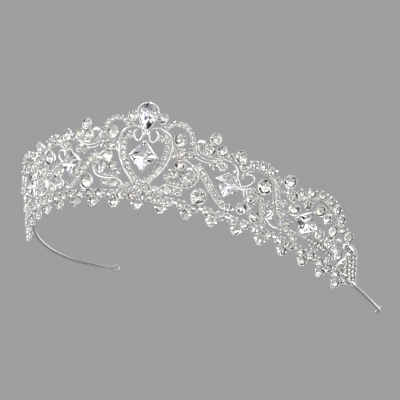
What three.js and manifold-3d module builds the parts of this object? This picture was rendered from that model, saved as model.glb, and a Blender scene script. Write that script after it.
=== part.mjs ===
// Bridal tiara: rhodium-plated wire and castings set with clear crystals.
// Every piece is modelled flat, as the castings are made, and then bent round the head.
// Flat space, in mm: X runs round the head from the centre front, Y is the height above the
// base line, and Z is the distance in front of the panel's back plane.
// World space, in mm: +Z up, -Y front, X is the mirror direction, Z = 0 is the resting plane.

import * as THREE from 'three';
import { mergeVertices } from 'three/addons/utils/BufferGeometryUtils.js';
import Module from 'manifold-3d';

const wasm = await Module();
wasm.setup();
const { Manifold, Mesh: SolidMesh } = wasm;

// ---- driving dimensions ----
const FRONT_CURVE = 0.01506;      // curvature of the base line at the centre front, 1/mm
const CURVE_EASE = 1.1e-7;        // how fast that curvature eases off round the sides, 1/mm^3
const LEAN = THREE.MathUtils.degToRad(25);   // outward lean of the panel
const ARM_START = 84;             // where the plain arms start to rise
const ARM_LENGTH = 75;
const ARM_RISE = 15.2;            // rise of the arms at their ends
const BASE_HEIGHT = 4.35;         // base line above the resting plane
const BACK_SET = 52.38;           // centre of the plan behind the centre front
const HEADBAND_D = 1.3;
const HEADBAND_END = 159.6;
const HEADBAND_HEIGHT = 1.4;
const HEADBAND_DEPTH = -1.05;
const EYELET_R = 1.5;             // centre line of the end eyelets
const WIRE_D = 0.8;               // plain scroll wire
const WIRE_SIDES = 5;
const BAND_THICK = 1.05;          // pave castings
const UNIT = 9.45;                // one repeat of the base chain
const UNITS_EACH_SIDE = 9;
const CHAIN_CUP_D = 2.6;
const CUP_OFFSET = 2.4;           // chain cups either side of each pendant
const PENDANT_DROP = 2.6;
const PENDANT_DIAG = 3.7;
const FINEST = 0.06;              // detail kept on a casting
const LONGEST_FACET = 9;          // short enough to follow the bend

const metal = new THREE.MeshStandardMaterial({ color: 0xd9dbe0, roughness: 0.16, metalness: 1 });
const crystal = new THREE.MeshStandardMaterial({ color: 0xeaf1f8, roughness: 0.03, metalness: 0 });

// ---- bending the flat work round the head ----

function heading(s) {
  return FRONT_CURVE * s - CURVE_EASE * s ** 3;
}

function planPoint(s) {
  const steps = 32;
  const step = s / steps;
  let x = 0;
  let y = 0;
  for (let i = 0; i < steps; i++) {
    const turn = heading((i + 0.5) * step);
    x += Math.cos(turn) * step;
    y += Math.sin(turn) * step;
  }
  return { x, y };
}

function armRise(s) {
  const past = Math.max(0, Math.abs(s) - ARM_START) / ARM_LENGTH;
  return ARM_RISE * past ** 2;
}

function bendPoint(vertex) {
  const [s, h, depth] = vertex;
  const base = planPoint(s);
  const turn = heading(s);
  const out = h * Math.sin(LEAN) + depth * Math.cos(LEAN);
  vertex[0] = base.x + Math.sin(turn) * out;
  vertex[1] = base.y - Math.cos(turn) * out - BACK_SET;
  vertex[2] = BASE_HEIGHT + h * Math.cos(LEAN) - depth * Math.sin(LEAN) + armRise(s);
}

// ---- flat solids ----

function toSolid(geometry) {
  geometry.deleteAttribute('normal');
  geometry.deleteAttribute('uv');
  const merged = mergeVertices(geometry, 1e-4);
  const vertProperties = Float32Array.from(merged.attributes.position.array);
  const triVerts = Uint32Array.from(merged.index.array);
  return new Manifold(new SolidMesh({ numProp: 3, vertProperties, triVerts }));
}

function join(...pieces) {
  return Manifold.union(pieces.flat());
}

// A crystal in its cup, standing on the panel's back plane.
function gem(s, h, d, sides = 8, height = 0.58 * d) {
  const r = d / 2;
  const profile = [
    new THREE.Vector2(0, 0.05),
    new THREE.Vector2(0.68 * r, 0.05),
    new THREE.Vector2(r, 0.55 * height),
    new THREE.Vector2(0.6 * r, height),
    new THREE.Vector2(0, height),
  ];
  const geometry = new THREE.LatheGeometry(profile, sides);
  geometry.rotateX(Math.PI / 2);
  geometry.translate(s, h, 0);
  return toSolid(geometry);
}

// A small six-sided cup, flush with its stone.
function cup(s, h, d) {
  return Manifold.cylinder(1.5, 0.36 * d, 0.5 * d, 6).translate([s, h, 0.05]);
}

// A straight soldering bar between two points.
function bar(s0, h0, s1, h1, width = 0.6) {
  const length = Math.hypot(s1 - s0, h1 - h0);
  const degrees = THREE.MathUtils.radToDeg(Math.atan2(h1 - h0, s1 - s0));
  return Manifold.cube([length, width, 0.7], true)
    .translate([length / 2, 0, 0.45])
    .rotate([0, 0, degrees])
    .translate([s0, h0, 0]);
}

// Cups along the outer edge of a curve, each soldered to it by a bar to the given foot.
function studs(rows) {
  return rows.map(([s, h, d, footS, footH]) => join(cup(s, h, d), bar(s, h, footS, footH)));
}

// A polished bead on the panel.
function bead(s, h, d) {
  const geometry = new THREE.SphereGeometry(d / 2, 7, 5);
  geometry.translate(s, h, 0.5 * d + 0.05);
  return toSolid(geometry);
}

function pathThrough(points) {
  return new THREE.CatmullRomCurve3(points.map(([s, h]) => new THREE.Vector3(s, h, 0)));
}

// Round wire through the given points.
function wire(points, d = WIRE_D, steps = Math.ceil(1.4 * points.length), depth = d / 2 + 0.1) {
  const section = new THREE.Shape(new THREE.EllipseCurve(0, 0, d / 2, d / 2).getPoints(WIRE_SIDES));
  const path = pathThrough(points);
  const geometry = new THREE.ExtrudeGeometry(section, { steps, extrudePath: path, bevelEnabled: false });
  geometry.translate(0, 0, depth);
  return toSolid(geometry);
}

// Flat casting of even width along a curve.
function band(points, width, thick = BAND_THICK) {
  const path = pathThrough(points);
  const count = Math.ceil(1.4 * points.length);
  const left = [];
  const right = [];
  for (let i = 0; i <= count; i++) {
    const at = path.getPointAt(i / count);
    const along = path.getTangentAt(i / count);
    left.push(new THREE.Vector2(at.x - along.y * width / 2, at.y + along.x * width / 2));
    right.push(new THREE.Vector2(at.x + along.y * width / 2, at.y - along.x * width / 2));
  }
  return plate(new THREE.Shape([...left, ...right.reverse()]), thick);
}

function plate(shape, thick, back = 0.05, curveSegments = 5) {
  const geometry = new THREE.ExtrudeGeometry(shape, { depth: thick, bevelEnabled: false, curveSegments });
  geometry.translate(0, 0, back);
  return toSolid(geometry);
}

// Pointed leaf from (s, h), running for a length in the direction of an angle in degrees.
function leaf(s, h, length, width, degrees, thick = 0.9) {
  const shape = new THREE.Shape();
  shape.moveTo(0, 0);
  shape.quadraticCurveTo(0.45 * length, width, length, 0);
  shape.quadraticCurveTo(0.45 * length, -width, 0, 0);
  return plate(shape, thick, 0, 3).rotate([0, 0, degrees]).translate([s, h, 0.05]);
}

function ring(s, h, r, d = WIRE_D, depth = d / 2 + 0.1) {
  const geometry = new THREE.TorusGeometry(r, d / 2, 5, 10);
  geometry.translate(s, h, depth);
  return toSolid(geometry);
}

// Square crystal, point up, and the open basket with four claws behind and round it.
function squareStone(s, h, side, turn) {
  const top = 0.72 * side;
  const body = Manifold.cube([side, side, 1], true).translate([0, 0, 1.9]);
  const crown = Manifold.cube([top, top, 0.8], true).translate([0, 0, 2.7]);
  return Manifold.hull([body, crown]).rotate([0, 0, 45 + turn]).translate([s, h, 0]);
}

function squareBasket(s, h, side, turn) {
  const outer = side + 0.9;
  const inner = side - 2;
  const rail = Manifold.cube([outer, outer, 0.95], true).subtract(Manifold.cube([inner, inner, 2], true));
  const claws = [[1, 1], [1, -1], [-1, 1], [-1, -1]].map(([a, b]) => {
    const reach = (side + 0.45) / 2 + 0.25;
    return Manifold.cylinder(2.7, 0.32, 0.32, 6).translate([a * reach, b * reach, 0.05]);
  });
  return join(rail.translate([0, 0, 0.53]), claws).rotate([0, 0, 45 + turn]).translate([s, h, 0]);
}

// ---- centre pieces ----

function heartFrame() {
  const rim = wire([
    [3.3, 24.1], [3.9, 22.8], [3.5, 21.3], [2.6, 20.7], [1.6, 21.3], [1.2, 22.9], [1.8, 24.6],
    [3.2, 25.4], [5.2, 25.2], [7.4, 24.1], [8.9, 21.5], [9.5, 18.2], [9.2, 14.7], [8.1, 11.2],
    [6.4, 8.2], [4.5, 5.7],
  ]);
  const pave = band([[6.2, 23.4], [7.4, 21.2], [7.9, 18.4], [7.8, 15.4], [6.9, 12.6], [5.3, 10], [3.4, 8], [0, 5.7]], 2.1);
  const side = join(rim, pave);
  return join(side, side.mirror([1, 0, 0]));
}

function pearShape(r, centre, point) {
  const shape = new THREE.Shape();
  shape.moveTo(0, point);
  shape.bezierCurveTo(0.55 * r, point + 0.5 * r, r, centre - 1.1 * r, r, centre);
  shape.absarc(0, centre, r, 0, Math.PI, false);
  shape.bezierCurveTo(-r, centre - 1.1 * r, -0.55 * r, point + 0.5 * r, 0, point);
  return shape;
}

function pearStone() {
  return plate(pearShape(2.8, 31, 25.2), 1.8, 1.3, 6);
}

function pearSetting() {
  const tray = plate(pearShape(2.9, 31, 25.6), 0.9, 0.05, 6);
  const foot = wire([[0, 26.5], [0, 24.6], [0, 22.6]], WIRE_D, 3, 0.5);
  const claws = [[0.75, 34.3], [-0.75, 34.3], [3.35, 30.6], [-3.35, 30.6]].map(([s, h]) => {
    const claw = Manifold.cylinder(3.2, 0.3, 0.3, 6).translate([s, h, 0.1]);
    return join(claw, bar(s, h, 0.8 * s, 31 + 0.8 * (h - 31), 0.5));
  });
  return join(tray, foot, claws);
}

function centreCluster() {
  const stones = [cup(0, 3.1, 2.1), cup(2, 2.95, 2), cup(-2, 2.95, 2)];
  const leaves = [leaf(2.6, 3, 4.8, 1.3, -8), leaf(-2.6, 3, 4.8, 1.3, 188)];
  return join(bar(-3, 3, 3, 3), stones, leaves);
}

// ---- pieces of the right-hand side, mirrored for the left ----

function crownArch() {
  const arch = band([
    [6.7, 26.6], [7.9, 28.2], [9.4, 29], [10.8, 29.1], [12.6, 28.4], [14.2, 27], [15.2, 25], [15.6, 22.8],
    [15.8, 20.8], [16.2, 18.4],
  ], 1.5);
  const row = bar(11.1, 19.1, 16.3, 18);
  const stones = [cup(11.1, 19.2, 1.5), cup(12.9, 18.7, 2), cup(14.7, 18.2, 1.7), cup(16.3, 17.9, 1.9)];
  return join(arch, row, stones);
}

function innerScroll() {
  const stem = wire([[10.5, 16.6], [12.6, 16.5], [15, 15.9], [17.6, 14.9]]);
  const pave = band([[17.3, 15.1], [19.6, 13.1], [22, 10.4], [24.5, 7.6], [27, 5.3], [29.4, 3.6]], 1.7);
  const stones = studs([
    [18.8, 16.5, 2, 18, 14.6], [21.3, 14.3, 2.2, 20.1, 12.9], [23.8, 11.2, 2.2, 22.4, 10],
    [26.5, 8.2, 2.2, 25.2, 7], [29.1, 5.9, 2, 27.9, 4.8], [31.3, 2.9, 2, 29, 3.9],
  ]);
  return join(stem, pave, stones);
}

function lowerSpray() {
  const crescent = band([
    [8.8, 4.4], [10.4, 6.1], [13, 6.9], [16, 7], [18, 7.9], [18.9, 9.7], [18.4, 11.6], [17.2, 12.7],
  ], 1.1);
  const stem = wire([[13.2, 14.2], [13.6, 12], [12.8, 9.2], [11.4, 6.4]], 0.6);
  const twig = [bar(13.4, 12, 16, 10.1), bar(16, 10.1, 15.8, 7), bar(11.5, 10.7, 13.1, 10.2)];
  const stones = [gem(13.2, 14.1, 2.9), gem(11.5, 10.7, 2.9), gem(16, 10.1, 3.1)];
  const leaves = [leaf(9.9, 6.2, 3.6, 0.9, 105), leaf(9.4, 5, 4, 0.8, -18), leaf(12.4, 6.6, 3.4, 1.4, -48)];
  return join(crescent, stem, twig, stones, leaves, bead(16.4, 12.7, 1.9));
}

function topSpray() {
  const crescent = band([[17.8, 22.4], [18, 20.4], [19.6, 18.7], [22, 18.1], [24.6, 18.7], [26, 19.8]], 1.3);
  const shoulder = wire([[25.2, 19.4], [27.6, 20], [29.8, 19.4], [31.5, 18.2], [32.4, 17]]);
  const stem = wire([[22.3, 26], [22.5, 23], [22, 20], [21.4, 18.4]], 0.6);
  const twig = [bar(22.3, 22, 25.4, 22.9), bar(25.4, 22.9, 27.9, 22.3), bar(26.6, 17.6, 26.2, 19.8)];
  const stones = [gem(22.3, 26.4, 3.5), gem(20.9, 21.8, 3.4), gem(25.4, 22.9, 2.9), cup(27.9, 22.3, 1.7)];
  const leaves = [leaf(24.3, 19, 3.2, 1.2, -100), ring(26.6, 17.6, 1.1, 0.6), cup(26.6, 17.6, 1.6)];
  return join(crescent, shoulder, stem, twig, stones, leaves, bead(17.8, 23.3, 1.9));
}

function sideArch() {
  const arch = band([[34.3, 15.5], [34.6, 17.3], [36, 19], [38.2, 19.9], [40.6, 20.1], [42.8, 19.3], [44.3, 17.9]], 1.1);
  const curl = ring(36.1, 15.8, 1.5);
  const stones = studs([
    [33.6, 19.3, 1.9, 35.2, 18.2], [36.1, 21.2, 2.2, 36.9, 19.5], [39.2, 21.9, 2.3, 39.3, 20.1],
    [42.4, 21.3, 2.2, 42, 19.7], [44.9, 19.6, 2, 43.8, 18.5],
  ]);
  return join(arch, curl, stones);
}

function flowerSpray() {
  const frond = band([[40.9, 12.3], [42.6, 10], [44, 7.2], [45.2, 4.4], [45.8, 2.9]], 1.3);
  const stems = [
    bar(37.6, 12.5, 41.2, 12.2),
    wire([[41.2, 11.8], [40.9, 9], [39.6, 6.9], [37.4, 5.4]], 0.7),
    bar(39.7, 7, 42.3, 4.3),
    bar(42.3, 4.3, 45.3, 4),
    wire([[45.2, 4.6], [47.6, 3.6], [50.2, 3.5]], 0.7),
    bar(39.3, 9.3, 41, 9.3),
    bar(45, 10.4, 42.8, 9.4),
  ];
  const stones = [gem(37.1, 5.3, 3.3), gem(42.2, 4.3, 2.9), cup(39.3, 9.3, 1.8), cup(45, 10.4, 1.8)];
  const leaves = [
    leaf(38.7, 6, 6, 1.1, 110), leaf(44.2, 6.8, 3.9, 1.2, 42), leaf(38.9, 12.4, 3.4, 0.9, -84),
    leaf(43.6, 8, 3, 0.8, 60),
  ];
  return join(frond, stems, stones, leaves);
}

function outerScroll() {
  const pave = band([[45.8, 16.2], [46.5, 13.9], [47.7, 11.2], [49.2, 8.6], [51, 6.3], [52.8, 4.7]], 1.4);
  const stones = studs([
    [48, 14, 1.8, 46.5, 13.6], [49.7, 12.4, 1.9, 47.6, 11.5], [51.3, 9.2, 2.1, 49.4, 8.5],
    [53.4, 6.9, 2.1, 51.4, 6], [54, 4, 2, 52.6, 4.9],
  ]);
  return join(pave, stones);
}

function sideCluster() {
  const stem = [bar(48.4, 17, 51.8, 16.4), bar(51.8, 16.4, 53.9, 12.7)];
  return join(stem, cup(48.4, 17, 1.8), gem(51.8, 16.4, 3), gem(53.9, 12.6, 4.1, 10));
}

function outerArch() {
  const arch = band([
    [54.7, 16.7], [56, 18.3], [58.4, 19.4], [61.2, 19.9], [64, 19.7], [66.8, 18.8], [69.4, 17.3], [71.6, 15.8],
    [73.6, 14.4],
  ], 1);
  const stones = studs([
    [54.4, 19.1, 2.2, 55.9, 18.1], [57.4, 21, 2.3, 57.9, 19.2], [61.2, 21.8, 2.4, 61.2, 19.9],
    [65, 21.4, 2.4, 64.6, 19.6], [68.6, 19.9, 2.3, 67.8, 18.3], [71.9, 17.6, 2.2, 70.8, 16.4],
    [74.6, 15.4, 2.2, 73.4, 14.5], [57.9, 16.3, 2.4, 57.6, 19], [66.8, 15.7, 2.6, 66.7, 18.8],
  ]);
  return join(arch, stones);
}

function outerSpray() {
  const crescent = band([[63.2, 5], [66.8, 5.7], [70.4, 5.7], [74, 5.1], [76.6, 4.3]], 1.2);
  const stems = [
    wire([[56.8, 4.9], [60.4, 4.7], [63.6, 5.1]], 0.7),
    bar(67.1, 8.7, 69.6, 7),
    bar(69.6, 7, 72, 8.2),
    bar(69.6, 7, 70, 5.7),
    bar(72, 8.2, 75.5, 10.6),
    bar(75.5, 10.6, 76.2, 7.6),
    bar(76.2, 7.6, 78.8, 6.2),
    bar(78.8, 6.2, 76.4, 4.2),
  ];
  const stones = [gem(67.1, 8.8, 2.9), gem(72, 8.2, 3.2), gem(78.8, 6.1, 2.9), cup(76.8, 3.5, 2.1)];
  const leaves = [leaf(65, 5, 3.2, 0.9, -128), leaf(70, 5.2, 3.2, 0.9, -136), leaf(58.2, 4.7, 3, 0.9, 145)];
  return join(crescent, stems, stones, leaves, bead(75.5, 10.7, 1.9));
}

function endLeaf() {
  const shape = new THREE.Shape();
  shape.moveTo(79, 10.6);
  shape.quadraticCurveTo(83, 13.1, 87, 10.4);
  shape.bezierCurveTo(90.5, 7.6, 92.5, 3.6, 96.8, 2);
  shape.lineTo(84, 1.9);
  shape.quadraticCurveTo(80.8, 2.6, 82, 5.2);
  shape.bezierCurveTo(83.2, 7.4, 82, 9.4, 79, 9.6);
  shape.lineTo(79, 10.6);
  return plate(shape, 1.4);
}

// ---- base chain: two cups and a pendant to each repeat, joined by short bars ----

function chainUnit(centre) {
  const cups = [-CUP_OFFSET, CUP_OFFSET].map((x) => cup(centre + x, 0, CHAIN_CUP_D));
  const hanger = bar(centre, -PENDANT_DROP, centre, 0.2, 0.8);
  const bridge = bar(centre - CUP_OFFSET, 0, centre + CUP_OFFSET, 0);
  const pendant = gem(centre, -PENDANT_DROP, PENDANT_DIAG, 4, 1.9);
  return join(cups, hanger, bridge, pendant);
}

function chain(first, last) {
  const units = [];
  for (let k = first; k <= last; k++) {
    units.push(chainUnit(k * UNIT));
    if (k < last) {
      units.push(bar(k * UNIT + CUP_OFFSET, 0.2, (k + 1) * UNIT - CUP_OFFSET, 0.2));
    }
  }
  return join(units);
}

function sideChain() {
  const last = UNITS_EACH_SIDE * UNIT + CUP_OFFSET;
  const tail = [bar(last, 0.2, last + 3, 0.2, 0.8), bar(last + 3, 0.2, last + 6.2, 0.2, 0.8)];
  return join(chain(2, UNITS_EACH_SIDE), tail, cup(last + 3, 0, 2.2), cup(last + 5.4, 0.1, 1.8));
}

function headband() {
  const line = [[-HEADBAND_END, HEADBAND_HEIGHT], [HEADBAND_END, HEADBAND_HEIGHT]];
  const band = wire(line, HEADBAND_D, 60, HEADBAND_DEPTH);
  const reach = HEADBAND_END + EYELET_R - 0.2;
  const eyelets = [-reach, reach].map((s) => ring(s, HEADBAND_HEIGHT, EYELET_R, 1.1, HEADBAND_DEPTH));
  return join(band, eyelets);
}

// ---- assembly ----

const tiara = new THREE.Group();

function addNode(name, flatSolid, material) {
  const bent = flatSolid.warp(bendPoint).trimByPlane([0, 0, 1], 0);
  const { vertProperties, triVerts } = bent.getMesh();
  const geometry = new THREE.BufferGeometry();
  geometry.setAttribute('position', new THREE.BufferAttribute(Float32Array.from(vertProperties), 3));
  geometry.setIndex(new THREE.BufferAttribute(Uint32Array.from(triVerts), 1));
  geometry.computeBoundingBox();
  const place = geometry.boundingBox.getCenter(new THREE.Vector3());
  geometry.translate(-place.x, -place.y, -place.z);
  geometry.computeVertexNormals();
  const mesh = new THREE.Mesh(geometry, material);
  mesh.name = name;
  mesh.position.copy(place);
  tiara.add(mesh);
}

function addCasting(name, flatSolid, material) {
  addNode(name, flatSolid.simplify(FINEST).refineToLength(LONGEST_FACET), material);
}

function addPair(name, flatSolid, material) {
  addCasting(`right_${name}`, flatSolid, material);
  addCasting(`left_${name}`, flatSolid.mirror([1, 0, 0]), material);
}

addNode('headband_wire', headband(), metal);
addCasting('centre_base_chain', chain(-1, 1), metal);
addCasting('heart_frame', heartFrame(), metal);
addCasting('centre_cluster', centreCluster(), metal);
addCasting('centre_square_basket', squareBasket(0, 14.8, 7, 0), metal);
addCasting('centre_square_crystal', squareStone(0, 14.8, 7, 0), crystal);
addCasting('pear_setting', pearSetting(), metal);
addCasting('pear_crystal', pearStone(), crystal);

addPair('base_chain', sideChain(), metal);
addPair('flank_round', gem(5.4, 29.4, 3.1), crystal);
addPair('crown_arch', crownArch(), metal);
addPair('arch_round', gem(11.7, 23.1, 4.2, 10), crystal);
addPair('inner_scroll', innerScroll(), metal);
addPair('lower_spray', lowerSpray(), metal);
addPair('drop_round', gem(21.8, 4.6, 5.1, 10), crystal);
addPair('top_spray', topSpray(), metal);
addPair('shoulder_round', gem(31.2, 22.5, 4, 10), crystal);
addPair('inner_square_basket', squareBasket(30.4, 12.2, 6.1, -6), metal);
addPair('inner_square_crystal', squareStone(30.4, 12.2, 6.1, -6), crystal);
addPair('side_arch', sideArch(), metal);
addPair('side_round', gem(41.7, 15.9, 4.6, 10), crystal);
addPair('flower_spray', flowerSpray(), metal);
addPair('outer_scroll', outerScroll(), metal);
addPair('peak_round', gem(48.6, 20.9, 4.2, 10), crystal);
addPair('side_cluster', sideCluster(), metal);
addPair('outer_arch', outerArch(), metal);
addPair('outer_arch_round', gem(62.6, 16.9, 3.6, 10), crystal);
addPair('end_round', gem(71.1, 12.6, 3.3, 10), crystal);
addPair('outer_square_basket', squareBasket(60.3, 10.2, 4.9, -5), metal);
addPair('outer_square_crystal', squareStone(60.3, 10.2, 4.9, -5), crystal);
addPair('outer_spray', outerSpray(), metal);
addPair('tip_round', gem(78.3, 13.8, 3.4, 10), crystal);
addPair('end_leaf', endLeaf(), metal);

export default tiara;
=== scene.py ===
# Bridal tiara: polished rhodium-plated castings and wire, set with clear crystals.
# The work is laid out flat, as the castings are made, and bent round the head. In flat space,
# in mm, s runs round the head from the centre front, h is the height above the base line, and
# depth is the distance in front of the panel's back plane. World space is the part's frame, in m.

import random
from math import copysign, cos, dist, exp, hypot, pi, radians, sin, sqrt

import bpy
from mathutils import Matrix, Vector


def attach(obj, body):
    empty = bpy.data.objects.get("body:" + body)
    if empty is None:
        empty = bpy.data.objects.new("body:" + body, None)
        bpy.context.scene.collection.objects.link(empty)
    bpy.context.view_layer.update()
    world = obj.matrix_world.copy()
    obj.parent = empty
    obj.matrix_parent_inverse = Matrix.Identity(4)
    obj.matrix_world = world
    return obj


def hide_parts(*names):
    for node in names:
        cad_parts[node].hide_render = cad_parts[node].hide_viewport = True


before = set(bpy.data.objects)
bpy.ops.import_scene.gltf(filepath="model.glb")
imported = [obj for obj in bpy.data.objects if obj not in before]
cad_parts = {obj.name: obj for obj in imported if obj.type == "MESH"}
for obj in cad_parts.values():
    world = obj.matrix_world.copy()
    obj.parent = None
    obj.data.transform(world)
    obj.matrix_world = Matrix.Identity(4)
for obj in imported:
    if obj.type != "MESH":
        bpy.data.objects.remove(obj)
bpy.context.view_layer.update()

MM = 0.001

# ---- driving dimensions, in mm, that the CAD model has too ----
FRONT_CURVE = 0.01506
CURVE_EASE = 1.1e-7
LEAN = radians(25)
ARM_START = 84
ARM_LENGTH = 75
ARM_RISE = 15.2
BASE_HEIGHT = 4.35
BACK_SET = 52.38
HEADBAND_D = 1.3
HEADBAND_END = 159.6
HEADBAND_HEIGHT = 1.4
HEADBAND_DEPTH = -1.05
EYELET_R = 1.5
UNIT = 9.45
UNITS_EACH_SIDE = 9
CUP_OFFSET = 2.4
PENDANT_DROP = 2.6

# ---- dimensions of the finished pieces only, in mm ----
PENDANT_D = 3.55
CHAIN_CUP_D = 3.3
CHAIN_LIFT = 0.35         # height of the chain cups above the base line
HEADBAND_FRONT = 0.35     # height of the wire behind the base chain
HEADBAND_EASE = 14        # length over which the wire rises from there to its full height
BASKET_SEAT = 1.75        # depth of the widest part of the square and pear stones
SHARP = radians(42)       # faces that meet at more than this keep a sharp edge

# ---- material slots ----
POLISHED, SATIN = 0, 1
GLASS, FOIL = 0, 1

# ---- bending the flat work round the head ----

PLAN_STEP = 0.25
PLAN_REACH = 170


def heading(s):
    """The turn of the base line in plan at s, in radians."""
    return FRONT_CURVE * s - CURVE_EASE * s**3


def plan_points():
    """Points of the base line in plan, every PLAN_STEP of its length from the centre front."""
    points = [(0.0, 0.0)]
    for i in range(int(PLAN_REACH / PLAN_STEP)):
        turn = heading((i + 0.5) * PLAN_STEP)
        x, y = points[-1]
        points.append((x + cos(turn) * PLAN_STEP, y + sin(turn) * PLAN_STEP))
    return points


PLAN = plan_points()


def plan_point(s):
    """The point of the base line in plan at s."""
    at = abs(s) / PLAN_STEP
    i = int(at)
    part = at - i
    (x0, y0), (x1, y1) = PLAN[i], PLAN[i + 1]
    x = x0 + (x1 - x0) * part
    return copysign(x, s), y0 + (y1 - y0) * part


def bend(s, h, depth):
    """The point in the row frame, in m, of a point of the flat work, in mm."""
    x, y = plan_point(s)
    turn = heading(s)
    out = h * sin(LEAN) + depth * cos(LEAN)
    rise = ARM_RISE * (max(0, abs(s) - ARM_START) / ARM_LENGTH) ** 2
    z = BASE_HEIGHT + h * cos(LEAN) - depth * sin(LEAN) + rise
    return Vector((x + sin(turn) * out, y - cos(turn) * out - BACK_SET, z)) * MM


def spot(s, h):
    """Origin and axes (round the head, up the panel, out of it) of a rigid shape at (s, h)."""
    turn = heading(s)
    along = Vector((cos(turn), sin(turn), 0))
    ahead = Vector((sin(turn), -cos(turn), 0))
    up = ahead * sin(LEAN) + Vector((0, 0, cos(LEAN)))
    out = ahead * cos(LEAN) - Vector((0, 0, sin(LEAN)))
    return bend(s, h, 0), along * MM, up * MM, out * MM


# ---- meshes ----


class Shell:
    """Vertices and faces of one piece, in the part's frame."""

    def __init__(self):
        self.verts = []
        self.faces = []
        self.smooth = []
        self.slots = []

    def add(self, verts, faces, smooth, slots):
        """Faces over vertices of their own; smooth and slots are one value, or one for each face."""
        first = len(self.verts)
        self.verts += verts
        self.faces += [[first + v for v in face] for face in faces]
        self.smooth += smooth if isinstance(smooth, list) else [smooth] * len(faces)
        self.slots += slots if isinstance(slots, list) else [slots] * len(faces)

    def bent(self, points, faces, smooth=True, slots=0):
        """A shape that follows the bend, its points in the flat work."""
        self.add([bend(*p) for p in points], faces, smooth, slots)

    def rigid(self, s, h, points, faces, smooth=True, slots=0):
        """A shape that keeps its form, its points measured from (s, h)."""
        origin, along, up, out = spot(s, h)
        self.add([origin + along * a + up * b + out * c for a, b, c in points], faces, smooth, slots)

    def join(self, other):
        self.add(other.verts, other.faces, other.smooth, other.slots)

    def mirrored(self):
        """The same piece for the other side of the head."""
        other = Shell()
        verts = [Vector((-v.x, v.y, v.z)) for v in self.verts]
        other.add(verts, [face[::-1] for face in self.faces], self.smooth, self.slots)
        return other


TIARA = bpy.data.collections.new("tiara")     # the pieces, and all that most lights shine on


def new_object(name, data):
    """An object in the scene for a mesh, light or camera."""
    obj = bpy.data.objects.new(name, data)
    bpy.context.scene.collection.objects.link(obj)
    return obj


def piece(name, shell, node, materials):
    """A shell as a mesh object that stands for a CAD node."""
    mesh = bpy.data.meshes.new(name)
    mesh.from_pydata([tuple(v) for v in shell.verts], [], shell.faces)
    mesh.polygons.foreach_set("use_smooth", shell.smooth)
    mesh.polygons.foreach_set("material_index", shell.slots)
    for material in materials:
        mesh.materials.append(material)
    mesh.set_sharp_from_angle(angle=SHARP)
    mesh.validate()
    obj = new_object(name, mesh)
    TIARA.objects.link(obj)
    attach(obj, "root")
    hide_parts(node)


def turns(count, shift=0):
    """Angles evenly round a circle, the first of them shift spacings on."""
    return [2 * pi * (i + shift) / count for i in range(count)]


def turned(a, b, z, degrees):
    """A point turned about the axis that stands on the panel."""
    t = radians(degrees)
    c, w = cos(t), sin(t)
    return (a * c - b * w, a * w + b * c, z)


def skin(rings, sides, closed=False):
    """Faces over rings of points; the two ends are capped unless the last ring joins the first."""
    faces = []
    for k in range(rings if closed else rings - 1):
        a, b = k * sides, (k + 1) % rings * sides
        for i in range(sides):
            j = (i + 1) % sides
            faces.append((a + i, a + j, b + j, b + i))
    if not closed:
        faces.append(tuple(range(sides))[::-1])
        faces.append(tuple(range((rings - 1) * sides, rings * sides)))
    return faces


# ---- paths and sections in the flat work ----


def catmull_rom(p, q, r, u, t):
    """The value at t between q and r, with p before them and u after them."""
    square, cube = 2 * p - 5 * q + 4 * r - u, 3 * q - p - 3 * r + u
    return 0.5 * (2 * q + (r - p) * t + square * t**2 + cube * t**3)


def smooth_line(points, spacing):
    """Evenly spaced (s, h, tangent s, tangent h) on a Catmull-Rom curve through the points."""
    ends = [tuple(2 * a - b for a, b in zip(points[i], points[j])) for i, j in ((0, 1), (-1, -2))]
    knots = [ends[0], *points, ends[1]]
    fine = []
    steps = 14
    for a, b, c, d in zip(knots, knots[1:], knots[2:], knots[3:]):
        for k in range(steps):
            t = k / steps
            fine.append(tuple(catmull_rom(*four, t) for four in zip(a, b, c, d)))
    fine.append(points[-1])
    return even_line(fine, spacing)


def even_line(fine, spacing):
    """Evenly spaced (s, h, tangent s, tangent h) on a line of short straight steps."""
    lengths = [0.0]
    for a, b in zip(fine, fine[1:]):
        lengths.append(lengths[-1] + dist(a, b))
    count = max(2, round(lengths[-1] / spacing))
    spots = []
    j = 0
    for i in range(count + 1):
        want = lengths[-1] * i / count
        while j < len(fine) - 2 and lengths[j + 1] < want:
            j += 1
        part = (want - lengths[j]) / max(1e-9, lengths[j + 1] - lengths[j])
        spots.append(tuple(p + (q - p) * part for p, q in zip(fine[j], fine[j + 1])))
    line = []
    for i, (x, y) in enumerate(spots):
        before, after = spots[max(0, i - 1)], spots[min(count, i + 1)]
        run = dist(before, after)
        line.append((x, y, (after[0] - before[0]) / run, (after[1] - before[1]) / run))
    return line


def offset(line, by):
    """The line moved to its left by a distance."""
    return [(x - ty * by, y + tx * by, tx, ty) for x, y, tx, ty in line]


def sweep(shell, line, section, closed=False, scales=None, slot=POLISHED):
    """A section of (offset, depth) points carried along a line."""
    points = []
    count = len(section)
    middle = sum(z for _, z in section) / count
    for i, (x, y, tx, ty) in enumerate(line):
        k = scales[i] if scales else 1
        points += [(x - ty * o * k, y + tx * o * k, middle + (z - middle) * k) for o, z in section]
    shell.bent(points, skin(len(line), count, closed), True, slot)


def circle(d, depth, sides=10):
    """A round section d across, centred depth above the back plane."""
    return [(d / 2 * cos(t), depth + d / 2 * sin(t)) for t in turns(sides)]


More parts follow.
